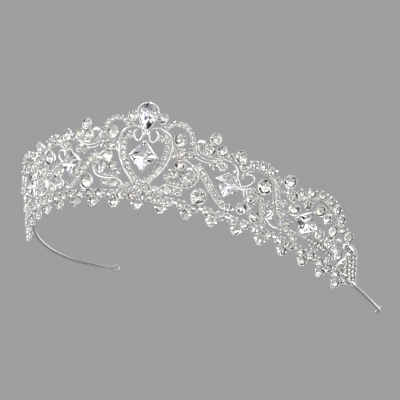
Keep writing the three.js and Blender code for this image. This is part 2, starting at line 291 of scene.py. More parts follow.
def rounded_ends(line, r):
    """The line with extra stops and scales that round off the ends of a tube of radius r."""
    x0, y0, tx0, ty0 = line[0]
    x1, y1, tx1, ty1 = line[-1]
    stops = ((0.95, 0.3), (0.7, 0.7), (0.38, 0.92))
    head = [((x0 - tx0 * r * out, y0 - ty0 * r * out, tx0, ty0), k) for out, k in stops]
    tail = [((x1 + tx1 * r * out, y1 + ty1 * r * out, tx1, ty1), k) for out, k in stops[::-1]]
    both = head + [(stop, 1) for stop in line] + tail
    return zip(*both)


# ---- metalwork ----


def tapered(count, least, power):
    """Scales for the stops of a line: least at its two ends and 1 at its middle."""
    parts = [i / (count - 1) for i in range(count)]
    return [least + (1 - least) * max(0, sin(pi * part)) ** power for part in parts]


def wire(shell, points, d, depth=None, sides=10, taper=1):
    """Round polished wire with rounded ends, taper times as thick there as at its middle."""
    line = smooth_line(points, 0.4)
    scales = tapered(len(line), taper, 0.6)
    ends, end_scales = rounded_ends(line, d / 2 * scales[0])
    k = (len(ends) - len(line)) // 2
    full = [e * scales[min(max(i - k, 0), len(scales) - 1)] for i, e in enumerate(end_scales)]
    sweep(shell, ends, circle(d, d / 2 + 0.1 if depth is None else depth, sides), scales=full)


def stub(shell, a, b, d=0.9):
    """A short bar between the collets of two round stones, each given as (s, h, width)."""
    (s0, h0, d0), (s1, h1, d1) = a, b
    run = hypot(s1 - s0, h1 - h0)
    inset = 0.44     # where the bar ends, in widths from the middle of the stone
    near, far = inset * d0 / run, 1 - inset * d1 / run
    ends = [(s0 + (s1 - s0) * part, h0 + (h1 - h0) * part) for part in (near, far)]
    middle = tuple((p + q) / 2 for p, q in zip(*ends))
    wire(shell, [ends[0], middle, ends[1]], d, 0.55, 8)


def ring(shell, s, h, r, d, depth=None):
    """A closed ring of round wire, r from its centre to the middle of the wire."""
    stops = 28
    line = [(s + r * cos(t), h + r * sin(t), -sin(t), cos(t)) for t in turns(stops)]
    sweep(shell, line, circle(d, d / 2 + 0.1 if depth is None else depth), closed=True)


def lathe(shell, s, h, profile, sides):
    """A (radius, depth) profile turned round an axis that stands on the panel."""
    points = [(r * cos(t), r * sin(t), z) for r, z in profile for t in turns(sides)]
    shell.rigid(s, h, points, skin(len(profile), sides))


def bead(shell, s, h, d, stretch, degrees):
    """A polished bead, stretched along one direction."""
    rows, sides = 9, 16
    points = []
    for i in range(1, rows):
        up = pi * i / rows
        for t in turns(sides):
            a, b = sin(up) * cos(t) * stretch * d / 2, sin(up) * sin(t) * d / 2
            points.append(turned(a, b, 0.1 + d / 2 * (1 - cos(up)), degrees))
    shell.rigid(s, h, points, skin(rows - 1, sides))


def prong(shell, s, h, r, top, sides):
    """A small domed claw tip standing on the panel."""
    lathe(shell, s, h, [(r, 0.2), (r, top - r), (0.72 * r, top - 0.28 * r), (0.25 * r, top)], sides)


def claw(shell, s, h, radius, degrees, seat, reach, thick):
    """A claw that rises beside a stone and folds over its edge, its tip reach above the seat."""
    stops = [
        (radius * 0.78, 0.1, 0.85), (radius + 0.12 * thick, seat * 0.6, 1), (radius + 0.16 * thick, seat, 1),
        (radius + 0.05 * thick, seat + 0.7 * reach, 0.95), (radius - 0.35 * thick, seat + reach, 0.7),
        (radius - 0.65 * thick, seat + reach, 0.3),
    ]
    sides = 7
    points = []
    for i, (r, z, k) in enumerate(stops):
        r0, z0, _ = stops[max(0, i - 1)]
        r1, z1, _ = stops[min(len(stops) - 1, i + 1)]
        run = hypot(r1 - r0, z1 - z0)
        nr, nz = (z1 - z0) / run, -(r1 - r0) / run
        for a in turns(sides):
            o, w = cos(a) * thick / 2 * k, sin(a) * thick / 2 * k
            points.append(turned(r + nr * o, w, z + nz * o, degrees))
    shell.rigid(s, h, points, skin(len(stops), sides))


def leaf(shell, s, h, length, width, degrees, thick=0.9, curl=0):
    """A cupped leaf with a raised rib, a rolled edge and a domed back."""
    rows, half = 10, 4
    cols = 2 * half + 1
    top, back = [], []
    for i in range(rows + 1):
        u = 0.02 + 0.96 * i / rows
        wide = width * 1.25 * sin(pi * u**0.8) ** 0.75
        swing = curl * length * sin(pi * u)
        for j in range(cols):
            v = (j - half) / half
            rib = 0.42 * exp(-((v / 0.2) ** 2))
            edge = 0.5 * abs(v) ** 3
            z = 0.1 + thick * (0.38 + rib + edge) * (0.45 + 0.55 * sin(pi * u) ** 0.5)
            a, b = u * length, v * wide / 2 + swing
            top.append(turned(a, b, z, degrees))
            back.append(turned(a, b, 0.08 + 0.22 * thick * v * v, degrees))
    faces = []
    n = len(top)
    for i in range(rows):
        for j in range(cols - 1):
            a = i * cols + j
            faces.append((a, a + cols, a + cols + 1, a + 1))
            faces.append((n + a, n + a + 1, n + a + cols + 1, n + a + cols))
    rim = list(range(cols))
    rim += [i * cols + cols - 1 for i in range(1, rows + 1)]
    rim += [rows * cols + j for j in range(cols - 2, -1, -1)]
    rim += [i * cols for i in range(rows - 1, 0, -1)]
    for a, b in zip(rim, rim[1:] + rim[:1]):
        faces.append((a, b, n + b, n + a))
    points = [(s + a, h + b, z) for a, b, z in top + back]
    shell.bent(points, faces)


def channel(shell, line, width, thick):
    """A band with a raised wall along each edge and a seat for stones between them."""
    floor, wall = 0.6, 0.22
    w = width / 2
    section = [
        (-w + 0.08, 0.08), (-w, 0.2), (-w, thick - 0.1), (-w + 0.06, thick), (-w + wall - 0.06, thick),
        (-w + wall, thick - 0.12), (-w + wall, floor), (w - wall, floor), (w - wall, thick - 0.12),
        (w - wall + 0.06, thick), (w - 0.06, thick), (w, thick - 0.1), (w, 0.2), (w - 0.08, 0.08),
    ]
    sweep(shell, line, section[::-1], slot=SATIN)


def ribbed(shell, points):
    """An arch casting with rounded ridges along it and a domed back, narrower towards its ends."""
    width, ridges, thick = 1.4, 2, 1.1
    line = smooth_line(points, 0.4)
    w = width / 2
    count = ridges * 6
    top = []
    for i in range(count + 1):
        o = -w + width * i / count
        top.append((o, thick * (0.42 + 0.58 * abs(sin(pi * ridges * i / count)) ** 0.7)))
    back = [(o * w, 0.08 + 0.3 * thick * o * o) for o in (-1, -0.7, -0.35, 0, 0.35, 0.7, 1)]
    sweep(shell, line, [*back, *top[::-1]], scales=tapered(len(line), 0.6, 0.7))


def crescent(shell, points, width, count, d):
    """Wires side by side along a curve, spread apart at its middle and closer at its ends."""
    line = smooth_line(points, 0.4)
    for k in range(count):
        side = width * (k / (count - 1) - 0.5)
        path = []
        for (x, y, tx, ty), spread in zip(line, tapered(len(line), 0.25, 0.8)):
            out = side * spread
            path.append((x - ty * out, y + tx * out))
        wire(shell, path[:-2:3] + [path[-1]], d, 0.3 + d / 2, taper=0.6)


# ---- stones ----


CUT = random.Random(17)
LARGE = 3.65     # stones wider than this have a thicker collet, rubbed over, and no claws
TILT = 0.035     # how far a foiled facet's corner strays, as a share of the stone's width
LARGE_TILT = 0.05     # the same for large stones


def astray(by):
    """A random distance of up to by, either way."""
    return CUT.uniform(-by, by)


def ring_of(r, z, count, shift, stray=0):
    """Points round a circle, turned by shift spacings; each strays at random by up to stray."""
    points = []
    for t in turns(count, shift):
        k = r + astray(stray)
        points.append((k * cos(t), k * sin(t), z + astray(stray)))
    return points


def brilliant(shell, s, h, d, seat):
    """A round stone: table, star, kite and girdle facets over a foiled pavilion of small facets."""
    r = d / 2
    stray = (LARGE_TILT if d > LARGE else TILT) * d
    crown = 0.16 * d
    table, star_reach = 0.5, 0.78     # shares of the stone's radius
    kite = star_reach * cos(pi / 8)
    star_z = seat + crown * (1 - (kite - table) / (1 - table))
    points = ring_of(table * r, seat + crown, 8, 0)
    points += ring_of(star_reach * r, star_z, 8, 0.5, 0.4 * stray)
    points += ring_of(r, seat, 16, 0)
    points += ring_of(r, seat - 0.03 * d, 16, 0)
    for reach, fall in ((0.78, 0.13), (0.56, 0.21), (0.32, 0.29)):
        points += ring_of(reach * r, seat - fall * d, 16, 0.5, stray)
    points.append((0, 0, seat - 0.36 * d))
    stars, top, belt, culet = 8, 16, 32, 96     # first point of each ring, and the culet's
    faces = [tuple(range(8))]
    slots = [GLASS]
    for i in range(8):
        j, p = (i + 1) % 8, (i - 1) % 8
        g0, g1, g2 = top + 2 * i, top + 2 * i + 1, top + (2 * i + 2) % 16
        star = stars + i
        faces += [(i, star, j), (i, stars + p, g0, star), (star, g0, g1), (star, g1, g2)]
        slots += [GLASS] * 4
    for i in range(16):
        j = (i + 1) % 16
        faces.append((top + i, belt + i, belt + j, top + j))
        slots.append(GLASS)
        for k in range(3):
            a, b = belt + 16 * k, belt + 16 * (k + 1)
            if (i + k) % 2:
                faces += [(a + i, b + i, b + j), (a + i, b + j, a + j)]
            else:
                faces += [(a + i, b + i, a + j), (a + j, b + i, b + j)]
            slots += [FOIL] * 2
        faces.append((culet - 16 + i, culet, culet - 16 + j))
        slots.append(FOIL)
    shell.rigid(s, h, points, faces, False, slots)


# ---- settings: metal and stone together ----


def between(stops):
    """The points midway between neighbouring stops."""
    pairs = zip(stops, stops[1:])
    return [((x0 + x1) / 2, (y0 + y1) / 2, tx, ty) for (x0, y0, tx, ty), (x1, y1, _, _) in pairs]


class Work:
    """One node's metal and stones."""

    def __init__(self):
        self.metal = Shell()
        self.stone = Shell()

    def cup(self, s, h, d, rim=0.1):
        """A round stone d across in an open collet, rim thick; returns the stone's seat."""
        r = 0.5 * d
        seat = 0.12 + 0.4 * d
        lathe(self.metal, s, h, [
            (0.08 * r, 0), (0.34 * r, 0.05), (0.58 * r, 0.16 * seat), (0.8 * r, 0.4 * seat),
            (r, seat - 0.14 * d), (r + rim, seat - 0.05 * d), (r + rim, seat),
            (r + 0.55 * rim, seat + 0.3 * rim + 0.05), (r + 0.1 * rim, seat + 0.3 * rim + 0.03),
            (r - 0.06, seat - 0.03), (r - 0.12, seat - 0.12 * d),
            (0.6 * r, 0.3 * seat), (0.3 * r, 0.15), (0.05, 0.1),
        ], 32 if d > LARGE else 16)
        brilliant(self.stone, s, h, d, seat)
        return seat

    def gem(self, s, h, d, first=45):
        """A round stone, large in a plain rubbed-over collet or small under four claws, the first
        of them first degrees round from the direction of s."""
        if d > LARGE:
            self.cup(s, h, d, 0.25)
            return
        seat = self.cup(s, h, d)
        thick = min(0.85, max(0.5, 0.28 * d))
        for i in range(4):
            claw(self.metal, s, h, 0.5 * d, first + 90 * i, seat, 0.1 * d + 0.08, thick)

    def gems(self, rows):
        for s, h, d, *first in rows:
            self.gem(s, h, d, *first)

    def row(self, points, d):
        """Stones edge to edge along a curve, with a pair of claw beads between each two."""
        back = smooth_line(points, 0.5)
        for side in (-0.38 * d, 0.38 * d):
            sweep(self.metal, offset(back, side), circle(0.5, 0.45, 8), slot=SATIN)
        stops = smooth_line(points, 0.95 * d)
        for x, y, _, _ in stops:
            seat = self.cup(x, y, 0.94 * d, 0.06 * d)
        thick = 0.12 * d + 0.08
        marks = between(stops)
        for (x, y, tx, ty), out in ((stops[0], -0.4 * d), (stops[-1], 0.4 * d)):
            marks.append((x + tx * out, y + ty * out, tx, ty))
        self.prong_pairs(marks, 0.36 * d, thick, seat + 0.12 * d + 0.12)

    def prong_pairs(self, marks, out, r, top, sides=7):
        """A claw tip on each side of every mark, out from the line."""
        for x, y, tx, ty in marks:
            for side in (-out, out):
                prong(self.metal, x - ty * side, y + tx * side, r, top, sides)

    def pave(self, points, width):
        """A channel with a raised wall along each edge, set with a row of stones."""
        thick = 1.15
        channel(self.metal, smooth_line(points, 0.45), width, thick)
        size = width - 0.62
        stops = smooth_line(points, size + 0.16)
        for x, y, _, _ in stops:
            brilliant(self.stone, x, y, size, thick - 0.05)
        self.prong_pairs(between(stops), width / 2 - 0.36, 0.2, thick + 0.25)

    def beads(self, points, r, spacing, depth):
        """A line of milgrain beads."""
        for x, y, _, _ in smooth_line(points, spacing):
            prong(self.metal, x, y, r, depth, 6)


def worked(build, *sizes):
    """The metal and stones that one builder makes."""
    work = Work()
    build(work, *sizes)
    return work


def corner_frame(half):
    """The corners of a square that stands on its point."""
    return [(half, 0), (0, half), (-half, 0), (0, -half)]


def square_set(work, s, h, half, degrees):
    """A square stone, point up, in a double-railed basket with a folded claw at each corner."""
    square_stone(work.stone, s, h, half, degrees)
    for depth, d in ((0.4, 0.5), (1.2, 0.45)):
        rail(work.metal, s, h, half + 0.15, depth, d, degrees)
    for i in range(4):
        claw(work.metal, s, h, half - 0.15, degrees + 90 * i, BASKET_SEAT, 0.6, 0.85)


def rail(shell, s, h, half, depth, d, degrees):
    """A square of round wire, point up, with mitred corners."""
    sides = 8
    points = []
    for a, b in corner_frame(1):
        for t in turns(sides):
            r = half + d / 2 * cos(t) * sqrt(2)
            points.append(turned(a * r, b * r, depth + d / 2 * sin(t), degrees))
    faces = []
    for i in range(4):
        k = (i + 1) % 4
        for j in range(sides):
            n = (j + 1) % sides
            faces.append((i * sides + j, k * sides + j, k * sides + n, i * sides + n))
    shell.rigid(s, h, points, faces)


def square_ring(half, z, bow, drop, stray, degrees):
    """Sixteen points round a square, point up; its sides bow inwards and dip between the corners."""
    corners = corner_frame(half)
    ring = []
    for i in range(4):
        (a0, b0), (a1, b1) = corners[i], corners[(i + 1) % 4]
        for part, dip in ((0, 0), (0.27, 0.4), (0.5, 1), (0.73, 0.4)):
            inward = 1 - bow * dip
            a, b = (a0 + (a1 - a0) * part) * inward, (b0 + (b1 - b0) * part) * inward
            a, b, depth = a + astray(stray), b + astray(stray), z - drop * dip + astray(stray)
            ring.append(turned(a, b, depth, degrees))
    return ring


def facet_skin(count, crown_rings, foil_rings):
    """Faces of a stone built of rings of points, from its table down to its culet."""
    faces = [tuple(range(count))]
    slots = [GLASS]
    for k in range(crown_rings + foil_rings):
        for i in range(count):
            j = (i + 1) % count
            a, b, c, d = count * k + i, count * (k + 1) + i, count * (k + 1) + j, count * k + j
            faces += [(a, b, c), (a, c, d)] if (i + k) % 2 else [(a, b, d), (b, c, d)]
            slots += [GLASS if k < crown_rings else FOIL] * 2
    last = count * (crown_rings + foil_rings)
    for i in range(count):
        faces.append((last + i, last + count, last + (i + 1) % count))
        slots.append(FOIL)
    return faces, slots


def square_stone(shell, s, h, half, degrees):
    """A square cut: a split crown, and nested chevrons of foiled facets that meet at a culet."""
    levels = [
        (0.66, 0.72, 0, 0, 0), (0.86, 0.36, -0.05, 0, 0), (1, 0, 0, 0, 0), (1, -0.1, 0, 0, 0),
        (0.84, -0.36, -0.05, 0.2, 0.06), (0.66, -0.76, 0.1, -0.2, 0.09), (0.48, -0.92, -0.08, 0.2, 0.09),
        (0.3, -1.28, 0.1, -0.16, 0.07), (0.14, -1.36, 0, 0, 0.04),
    ]
    points = []
    for size, z, bow, drop, stray in levels:
        points += square_ring(size * half, BASKET_SEAT + z, bow, drop, stray, degrees)
    points.append((0, 0, BASKET_SEAT - 1.5))
    faces, slots = facet_skin(16, 3, 5)
    shell.rigid(s, h, points, faces, False, slots)


PEAR_CENTRE, PEAR_R, PEAR_POINT = 31, 3.15, 24.5
PEAR_ROUND = 12     # stretches of outline round the pear's round end
PEAR_FLANK = 9      # stretches of outline on each side between the round end and the point


def pear_outline(k):
    """Points of a pear, point down, scaled by k about its centre."""
    points = []
    for i in range(PEAR_ROUND + 1):
        t = pi * i / PEAR_ROUND
        points.append((PEAR_R * cos(t), PEAR_R * sin(t)))
    drop = PEAR_POINT - PEAR_CENTRE
    flank = []
    for i in range(1, PEAR_FLANK):
        u = i / PEAR_FLANK
        flank.append((PEAR_R * (1 - u) ** 0.6 * (1 + 0.08 * sin(pi * u)), drop * u))
    points += [(-a, b) for a, b in flank] + [(0, drop)] + flank[::-1]
    return [(a * k, PEAR_CENTRE + b * k) for a, b in points]


def pear_stone(shell):
    """A pear cut: a split crown over foiled facets that meet at a culet."""
    levels = [
        (0.5, 0.95, 0), (0.76, 0.55, 0.03), (1, 0, 0), (1, -0.14, 0), (0.8, -0.42, 0.11), (0.61, -0.7, 0.16),
        (0.43, -0.9, 0.17), (0.26, -1.1, 0.14), (0.12, -1.25, 0.07),
    ]
    points = []
    for k, z, stray in levels:
        for a, b in pear_outline(k):
            points.append((a + astray(stray), b, BASKET_SEAT + z + astray(stray)))
    points.append((0, PEAR_CENTRE - 0.7, BASKET_SEAT - 1.5))
    faces, slots = facet_skin(PEAR_ROUND + 2 * PEAR_FLANK, 3, 5)
    shell.bent(points, faces, False, slots)


# ---- centre pieces ----


def heart_half(work):
    """The right half of the heart-shaped frame round the centre square."""
    wire(work.metal, [
        (3.4, 24.3), (4.1, 23.4), (4.1, 21.9), (3.2, 20.5), (1.9, 20.5), (1.1, 22.5), (1.6, 24.6),
        (3, 25.5), (4.6, 25.5), (6.3, 24.9), (7.8, 24), (8.9, 22), (9.45, 19.1), (9.35, 16.3),
        (8.8, 13.8), (7.7, 11.3), (6.3, 9), (4.5, 7), (3.3, 5.5),
    ], 0.85, 0.8)
    work.gems([(6.4, 23.7, 2.1, 20), (5.4, 22, 2, 20), (7.3, 21.9, 2.1, 0)])
    work.row([(7.75, 20), (7.8, 18), (7.6, 16), (7.1, 14)], 2.1)
    work.gem(5.9, 12.3, 2.3, 30)
    work.row([(5.5, 10.3), (4.2, 8.6), (2.7, 7.1), (1.1, 6)], 2.1)


def heart_frame(work):
    half = worked(heart_half)
    for whole, part in ((work.metal, half.metal), (work.stone, half.stone)):
        whole.join(part)
        whole.join(part.mirrored())


def pear_setting(work):
    sweep(work.metal, even_closed(pear_outline(1.1), 0.5), circle(0.5, 1.35, 8), closed=True)
    sweep(work.metal, even_closed(pear_outline(0.95), 0.5), circle(0.55, 0.5, 8), closed=True)
    wire(work.metal, [(0, 24.6), (0, 23.6), (0, 22.6)], 1.5, 0.8)
    for s, h, lean in ((0.85, 34.1, 14), (3.2, 30.8, 93)):
        for side in (1, -1):
            fold(work.metal, side * s, h, 90 - side * lean)
    fold(work.metal, 0, 25.3, -90)


def fold(shell, s, h, degrees):
    """A claw folded over the point of a stone's edge at (s, h)."""
    t = radians(degrees)
    claw(shell, s - cos(t), h - sin(t), 1, degrees, BASKET_SEAT, 0.6, 0.7)


def even_closed(points, spacing):
    """The same as even_line round a closed outline."""
    line = even_line([*points, points[0]], spacing)[:-1]
    out = []
    for i, (x, y, _, _) in enumerate(line):
        before, after = line[i - 1], line[(i + 1) % len(line)]
        run = dist(before[:2], after[:2])
        out.append((x, y, (after[0] - before[0]) / run, (after[1] - before[1]) / run))
    return out


def centre_cluster(work):
    work.gems([(0, 2.7, 1.7), (0, 4.9, 1.9)])
    for side in (1, -1):
        work.gems([
            (side * 1.9, 3.9, 2), (side * 1.6, 1.7, 1.8), (side * 3.8, 2.8, 2.2), (side * 5.5, 1.9, 1.9),
            (side * 3.4, 4.8, 1.5),
        ])
        leaf(work.metal, side * 4.3, 4.2, 3.4, 1.5, 90 - side * 100)


# ---- pieces of the right-hand side ----


def crown_arch(work):
    work.row([
        (6.9, 26.7), (8.2, 28), (10, 28.5), (12, 28.2), (13.9, 26.8), (15.2, 24.6), (15.7, 22),
        (15.8, 19.9),
    ], 1.9)
    work.gems([
        (9.4, 21.7, 1.7), (10.3, 19.6, 1.9), (12.5, 18.6, 2.9), (10.5, 17.6, 1.7), (14.8, 17.9, 2.2),
        (16.5, 18.3, 2.2), (5.3, 26.8, 1.5),
    ])
    stub(work.metal, (10.3, 19.6, 1.9), (12.5, 18.6, 2.9))
    stub(work.metal, (12.5, 18.6, 2.9), (14.8, 17.9, 2.2))


def inner_scroll(work):
    wire(work.metal, [(9.8, 16.2), (11.2, 16.7), (13, 16.6), (15, 16), (17, 14.9), (18.6, 13.6)], 0.85)
    wire(work.metal, [(18.2, 14), (20, 12.4), (22.3, 9.9), (24.6, 7.4), (27, 5.2), (29.8, 3.1)], 0.75, 0.7)
    work.row([(19.3, 14.9), (21.1, 13.3), (23.4, 10.9), (25.7, 8.4), (28, 6.2), (30.5, 4.3)], 2.3)
    work.gem(32.7, 3.6, 3.2, 10)


def lower_spray(work):
    wire(work.metal, [
        (17.4, 14.6), (19, 13), (19.9, 10.9), (19.6, 8.8), (18.2, 7.1), (16, 6.3), (13, 6),
        (10.3, 6.1), (8.2, 5.3), (6.9, 3.7),
    ], 0.8, 0.6)
    work.row([
        (18.5, 12.2), (18.6, 10.4), (17.9, 8.7), (16.4, 7.6), (14.4, 7.2), (12.2, 7.2), (10.2, 7.2),
    ], 1.6)
    work.gems([(13.2, 14.4, 3.9), (11.4, 10.7, 3.2, 60), (15.9, 10.3, 4), (13.7, 12.2, 1.5), (9.2, 8.7, 2)])
    bead(work.metal, 16.6, 13.2, 2.1, 1.35, 15)
    leaf(work.metal, 8.9, 5.4, 4.4, 1.8, -32, 1.1, -0.1)
    leaf(work.metal, 7, 4.6, 3, 1.3, -60)
    leaf(work.metal, 12.2, 6, 2.6, 1.4, -38)
    work.gems([(14.5, 4.4, 2.5), (12.4, 3.9, 1.3)])


def top_spray(work):
    crescent(work.metal, [
        (17.3, 23.2), (16.9, 21.4), (17.7, 19.6), (19.5, 18.6), (21.8, 18.3), (24, 18.8), (25.8, 19.7),
    ], 2.4, 3, 0.7)
    wire(work.metal, [(24.8, 19.8), (27.6, 20.1), (29.9, 19.3), (31.4, 17.8), (32.3, 15.8)], 0.85)
    work.gems([
        (22.35, 26.3, 4), (21.4, 21.9, 4.3), (25.4, 22.7, 3.7), (27.7, 22, 2.2),
        (29.3, 21.4, 1.9), (22.6, 24.1, 1.5), (23.8, 16.9, 2.7, 10), (26.6, 17.3, 1.8),
    ])
    bead(work.metal, 18.3, 23.7, 2.3, 1.5, 15)
    ring(work.metal, 26.6, 17.3, 1.35, 0.7)
    leaf(work.metal, 25.2, 18.9, 2.6, 1.2, -120)


def side_arch(work):
    ribbed(work.metal, [
        (33.9, 15.2), (34.1, 17.3), (35.4, 19.2), (37.3, 20.1), (39.5, 20.4), (41.6, 20), (43.4, 18.9),
        (44.9, 17),
    ])
    wire(work.metal, [
        (34.9, 17.2), (36.2, 17.8), (37.5, 17.1), (37.7, 15.6), (36.9, 14.2), (35.7, 13.2), (34.6, 12.6),
    ], 0.75)
    work.gems([
        (33.3, 19.6, 2.8, 10), (35.9, 21.7, 3, 60), (39, 22.5, 3.1), (42.2, 21.6, 3, 30),
        (45.1, 19.4, 2.7, 10),
    ])


def flower_spray(work):
    work.row([(37.3, 12.7), (39.1, 13), (41, 12.9)], 1.3)
    wire(work.metal, [(40.7, 12), (38.5, 12), (37.3, 10.8), (37.5, 9), (38.7, 7.2), (39.8, 6.2)], 0.6)
    wire(work.metal, [(41.1, 11.8), (41.2, 9.6), (40.6, 7.6), (39.8, 6.2)], 0.6)
    leaf(work.metal, 35.6, 13, 5.6, 1.9, -73, 1.1, 0.08)
    work.gems([(39.3, 9.5, 3.1), (36.9, 5.4, 3.8), (42.3, 4.3, 3.7), (39.6, 5.3, 1.6), (45.5, 10.4, 2.4)])
    work.row([(41.9, 11.5), (43.4, 8.9), (44.9, 5.9), (46.2, 2.9)], 1.75)
    leaf(work.metal, 46, 5.2, 4.4, 2.3, 62, 1.2)
    wire(work.metal, [(45.6, 5.4), (47.2, 4.6), (48.6, 3.8), (50.4, 3.5), (52, 3.9)], 0.8)


def outer_scroll(work):
    wire(work.metal, [
        (44.6, 16.9), (45.5, 14.4), (46.5, 12.1), (47.7, 9.9), (49.1, 7.8), (50.7, 5.8), (52, 4.5),
    ], 0.7)
    work.row([(45.8, 16.7), (46.8, 14.5), (47.9, 12.3), (49.1, 10.2), (50.5, 8.2), (52, 6.4)], 2)
    work.gems([(49.8, 12.9, 2.2, 10), (51.6, 9.6, 2.4, 60), (54.5, 7.1, 2.5), (52.7, 4, 2.3, 20)])


def side_cluster(work):
    work.gems([(48.3, 17.1, 1.9), (50.1, 18.2, 1.6), (51.7, 16.5, 3.6, 20), (53.9, 12.6, 4.3)])
    stub(work.metal, (48.3, 17.1, 1.9), (51.7, 16.5, 3.4))
    stub(work.metal, (51.7, 16.5, 3.4), (53.9, 12.6, 4.3))


def outer_arch(work):
    ribbed(work.metal, [
        (54.1, 16.1), (55.7, 17.9), (58.1, 19), (60.6, 19.5), (63, 19.5), (65.4, 18.9), (67.6, 17.9),
        (69.8, 16.4), (71.9, 14.5),
    ])
    work.gems([
        (53.9, 18.9, 3, 20), (57.2, 20.7, 3.2, 60), (61, 21.7, 3.3), (64.8, 21.4, 3.3, 35),
        (68.3, 20, 3.1, 20), (71.7, 17.7, 3.1, 10), (74.6, 15, 2.8), (57.7, 16.2, 3.1, 15),
        (66.7, 15.2, 3.2, 10), (59.1, 17.9, 1.4),
    ])
    stub(work.metal, (66.7, 15.4, 2.9), (67.6, 17.9, 0.8))
    stub(work.metal, (71.9, 15.5, 0.8), (74.6, 15, 2.5))


def outer_spray(work):
    work.pave([(63, 5.3), (66, 5.7), (69.6, 5.5), (72.6, 5.1), (75.2, 4.6)], 2.1)
    wire(work.metal, [(56.4, 5.2), (59, 5), (61.4, 5.1), (63.6, 5.6)], 0.75)
    work.row([(55.2, 4.6), (57, 3.9), (58.8, 3.1)], 2.1)
    work.gems([
        (67, 8.8, 3.7), (71.9, 8.3, 4.1), (78.7, 6.2, 3.7), (76, 3, 2.7), (68.5, 2.9, 2.3),
        (77.9, 3.4, 1.6), (64, 7.5, 1.8), (69.5, 7.5, 1.5), (74.2, 9.9, 1.5),
    ])
    leaf(work.metal, 66, 4.7, 3.8, 1.7, -35)
    leaf(work.metal, 75.9, 6, 3.8, 1.8, 88, 1.2)
    bead(work.metal, 75.5, 10.9, 1.8, 1.25, 10)


END_LEAF_TOP = [
    (78.9, 11), (80.4, 11.9), (82.3, 12.2), (85.2, 11.3), (88, 8.7), (91.4, 5), (94.3, 2.8), (97, 2),
]
END_LEAF_LOW = [
    (93.6, 1.7), (90, 1.7), (86, 1.8), (82.6, 2.2), (81.2, 3.4), (81.6, 5.2), (82.5, 7.2), (81.6, 9),
    (79.2, 9.5),
]


def end_leaf(work):
    plate(work.metal, END_LEAF_TOP + END_LEAF_LOW, 0.9)
    wire(work.metal, END_LEAF_TOP, 0.6, 0.95)
    wire(work.metal, END_LEAF_LOW, 0.55, 0.95)
    work.beads(END_LEAF_TOP[:-1], 0.26, 0.62, 1.45)
    wire(work.metal, [(79.6, 10.1), (81.6, 10.9), (83.6, 10.6), (85, 9.4)], 0.4, 1)
    rows = [
        [(83.9, 10.3), (86.5, 8.4), (89.6, 5), (92.6, 2.9)],
        [(83.6, 8), (85.9, 6.6), (88.3, 3.9), (90, 2.7)],
        [(83, 5.9), (84.6, 4.6), (86.2, 3)],
        [(82.7, 3.6), (84, 2.8)],
        [(80.3, 10.6), (82, 10.2)],
    ]
    for points in rows:
        stops = smooth_line(points, 1.85)
        for x, y, _, _ in stops:
            brilliant(work.stone, x, y, 1.75, 1.2)
        work.prong_pairs(between(stops), 0.62, 0.27, 1.55, 6)


def plate(shell, edge, thick):
    """A flat plate inside a closed outline."""
    line = smooth_line([*edge, edge[0]], 0.6)[:-1]
    count = len(line)
    points = [(x, y, 0.1) for x, y, _, _ in line] + [(x, y, thick) for x, y, _, _ in line]
    faces = [tuple(range(count)), tuple(range(count, 2 * count))[::-1]]
    for i in range(count):
        j = (i + 1) % count
        faces.append((i, count + i, count + j, j))
    shell.bent(points, faces, False, SATIN)


# ---- base chain ----


def chain_unit(work, centre):
    """Two cups of the base chain with a small stone and a pendant stone between them."""
    for side in (-1, 1):
        work.gem(centre + side * CUP_OFFSET, CHAIN_LIFT, CHAIN_CUP_D)
    small, pendant = (centre, 0.1, 1.7), (centre, -PENDANT_DROP, PENDANT_D)
    stub(work.metal, small, pendant, 1.3)
    work.gems([small, (*pendant, 0)])


def link_bar(work, s0, s1):
    """A bar between the cups at s0 and s1."""
    stub(work.metal, (s0, CHAIN_LIFT, CHAIN_CUP_D), (s1, CHAIN_LIFT, CHAIN_CUP_D), 1.2)


def chain(work, first, last):
    """Linked units of the base chain, counted from the centre front."""
    for k in range(first, last + 1):
        chain_unit(work, k * UNIT)
        if k < last:
            link_bar(work, k * UNIT + CUP_OFFSET, (k + 1) * UNIT - CUP_OFFSET)


def centre_base_chain(work):
    chain(work, -1, 1)


def base_chain(work):
    link_bar(work, UNIT + CUP_OFFSET + 0.4, 2 * UNIT - CUP_OFFSET)
    chain(work, 2, UNITS_EACH_SIDE)
    work.gem(21.9, 1.5, 1.7)
    last = UNITS_EACH_SIDE * UNIT + CUP_OFFSET
    stub(work.metal, (last, CHAIN_LIFT, CHAIN_CUP_D), (last + 7.4, 0.7, 0.6), 1.2)
    work.gems([(last + 2.6, 0.2, 2.3), (last + 4.6, 0.4, 2), (last + 6.3, 0.6, 1.7)])


def headband_height(s):
    """The wire lies behind the base chain and eases up to the arms beyond it."""
    part = min(1, max(0, (abs(s) - ARM_START) / HEADBAND_EASE))
    return HEADBAND_FRONT + (HEADBAND_HEIGHT - HEADBAND_FRONT) * part * part * (3 - 2 * part)


def headband(shell):
    """The wire all the way round, with an eyelet at each end."""
    steps = 260
    stops = [HEADBAND_END * (2 * i / steps - 1) for i in range(steps + 1)]
    line = [(s, headband_height(s), 1, 0) for s in stops]
    sweep(shell, line, circle(HEADBAND_D, HEADBAND_DEPTH, 14))
    reach = HEADBAND_END + EYELET_R - 0.2
    for side in (-1, 1):
        ring(shell, side * reach, HEADBAND_HEIGHT, EYELET_R, 1.05, HEADBAND_DEPTH)


# ---- materials ----


def new_material(name):
    material = bpy.data.materials.new(name)
    material.use_nodes = True
    tree = material.node_tree
    return material, tree, tree.nodes["Principled BSDF"]


def noise(tree, scale):
    """Noise in the piece's own coordinates."""
    coordinates = tree.nodes.new("ShaderNodeTexCoord")
    node = tree.nodes.new("ShaderNodeTexNoise")
    node.inputs["Scale"].default_value = scale
    node.inputs["Detail"].default_value = 3
    tree.links.new(coordinates.outputs["Object"], node.inputs["Vector"])
    return node


